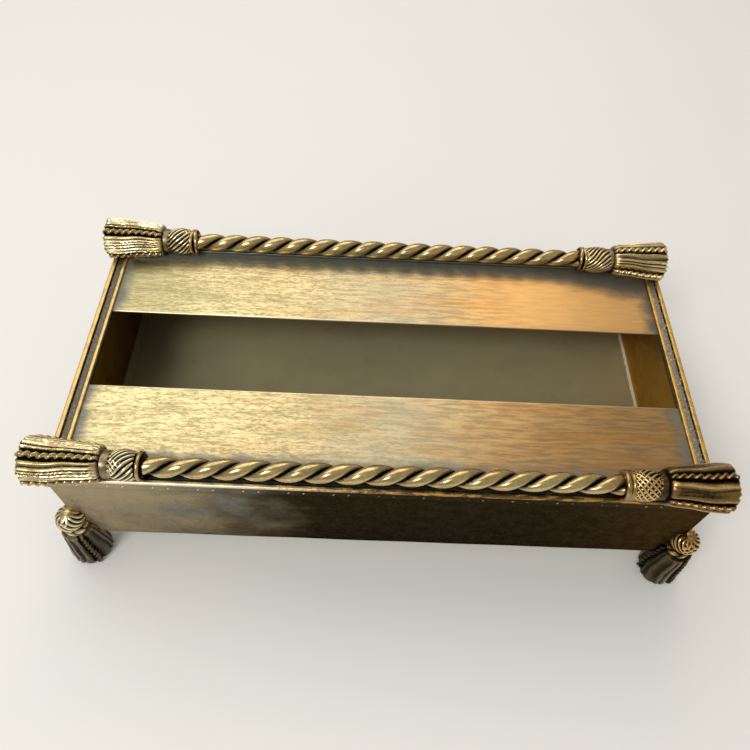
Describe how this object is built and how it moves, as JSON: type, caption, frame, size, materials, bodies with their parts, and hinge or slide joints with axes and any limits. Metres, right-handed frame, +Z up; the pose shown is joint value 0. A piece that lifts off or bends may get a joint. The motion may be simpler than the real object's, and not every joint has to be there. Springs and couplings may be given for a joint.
{
  "type": "tissue box holder",
  "caption": "Low gilt metal box on tassel feet that holds a flat carton of tissues under a long slot, trimmed with twisted rope and tassels, with a bottom plate that slides out.",
  "frame": {"origin": "on the table, under the middle of the box, which is the middle of the bottom of its bounding box", "axes": "+X along the box to its right-hand end, where the bottom plate slides out; +Y from its front to its back; +Z up"},
  "size_m": [0.3006, 0.1592, 0.0898],
  "materials": {
    "satin_wall": "satin brass sheet with a dark brown antique lacquer",
    "brushed_top": "brushed lengthwise, lacquered, tarnished grey-teal beside the rope and at the ends",
    "rim": "moulded brass strip with bright worn edges and dark grooves",
    "rope": "polished cast brass, darkened in the hollows between the strands",
    "tassel": "cast brass with fine thread relief, bright on the threads and near black between them",
    "aged_inside": "plain rolled brass sheet, dull grey-olive with age"
  },
  "bodies": {
    "root": {"front_wall": "satin_wall", "back_wall": "satin_wall", "left_end_wall": "satin_wall", "right_end_wall": "satin_wall", "front_rim": "rim", "back_rim": "rim", "left_rim": "rim", "right_rim": "rim", "front_strip": "brushed_top", "back_strip": "brushed_top", "front_rail": "aged_inside", "back_rail": "aged_inside", "plate_stop": "aged_inside", "front_rope_strand_a": "rope", "front_rope_strand_b": "rope", "front_left_collar": "rope", "front_left_tassel_knot": "tassel", "front_left_tassel_skirt": "tassel", "front_left_foot": "tassel", "front_right_collar": "rope", "front_right_tassel_knot": "tassel", "front_right_tassel_skirt": "tassel", "front_right_foot": "tassel", "back_rope_strand_a": "rope", "back_rope_strand_b": "rope", "back_left_collar": "rope", "back_left_tassel_knot": "tassel", "back_left_tassel_skirt": "tassel", "back_left_foot": "tassel", "back_right_collar": "rope", "back_right_tassel_knot": "tassel", "back_right_tassel_skirt": "tassel", "back_right_foot": "tassel"},
    "bottom_plate": {"bottom_plate": "aged_inside"}
  },
  "joints": [
    {"name": "plate_slide", "type": "slide", "parent": "root", "child": "bottom_plate", "axis": [1, 0, 0], "range_m": [0, 0.262]}
  ]
}
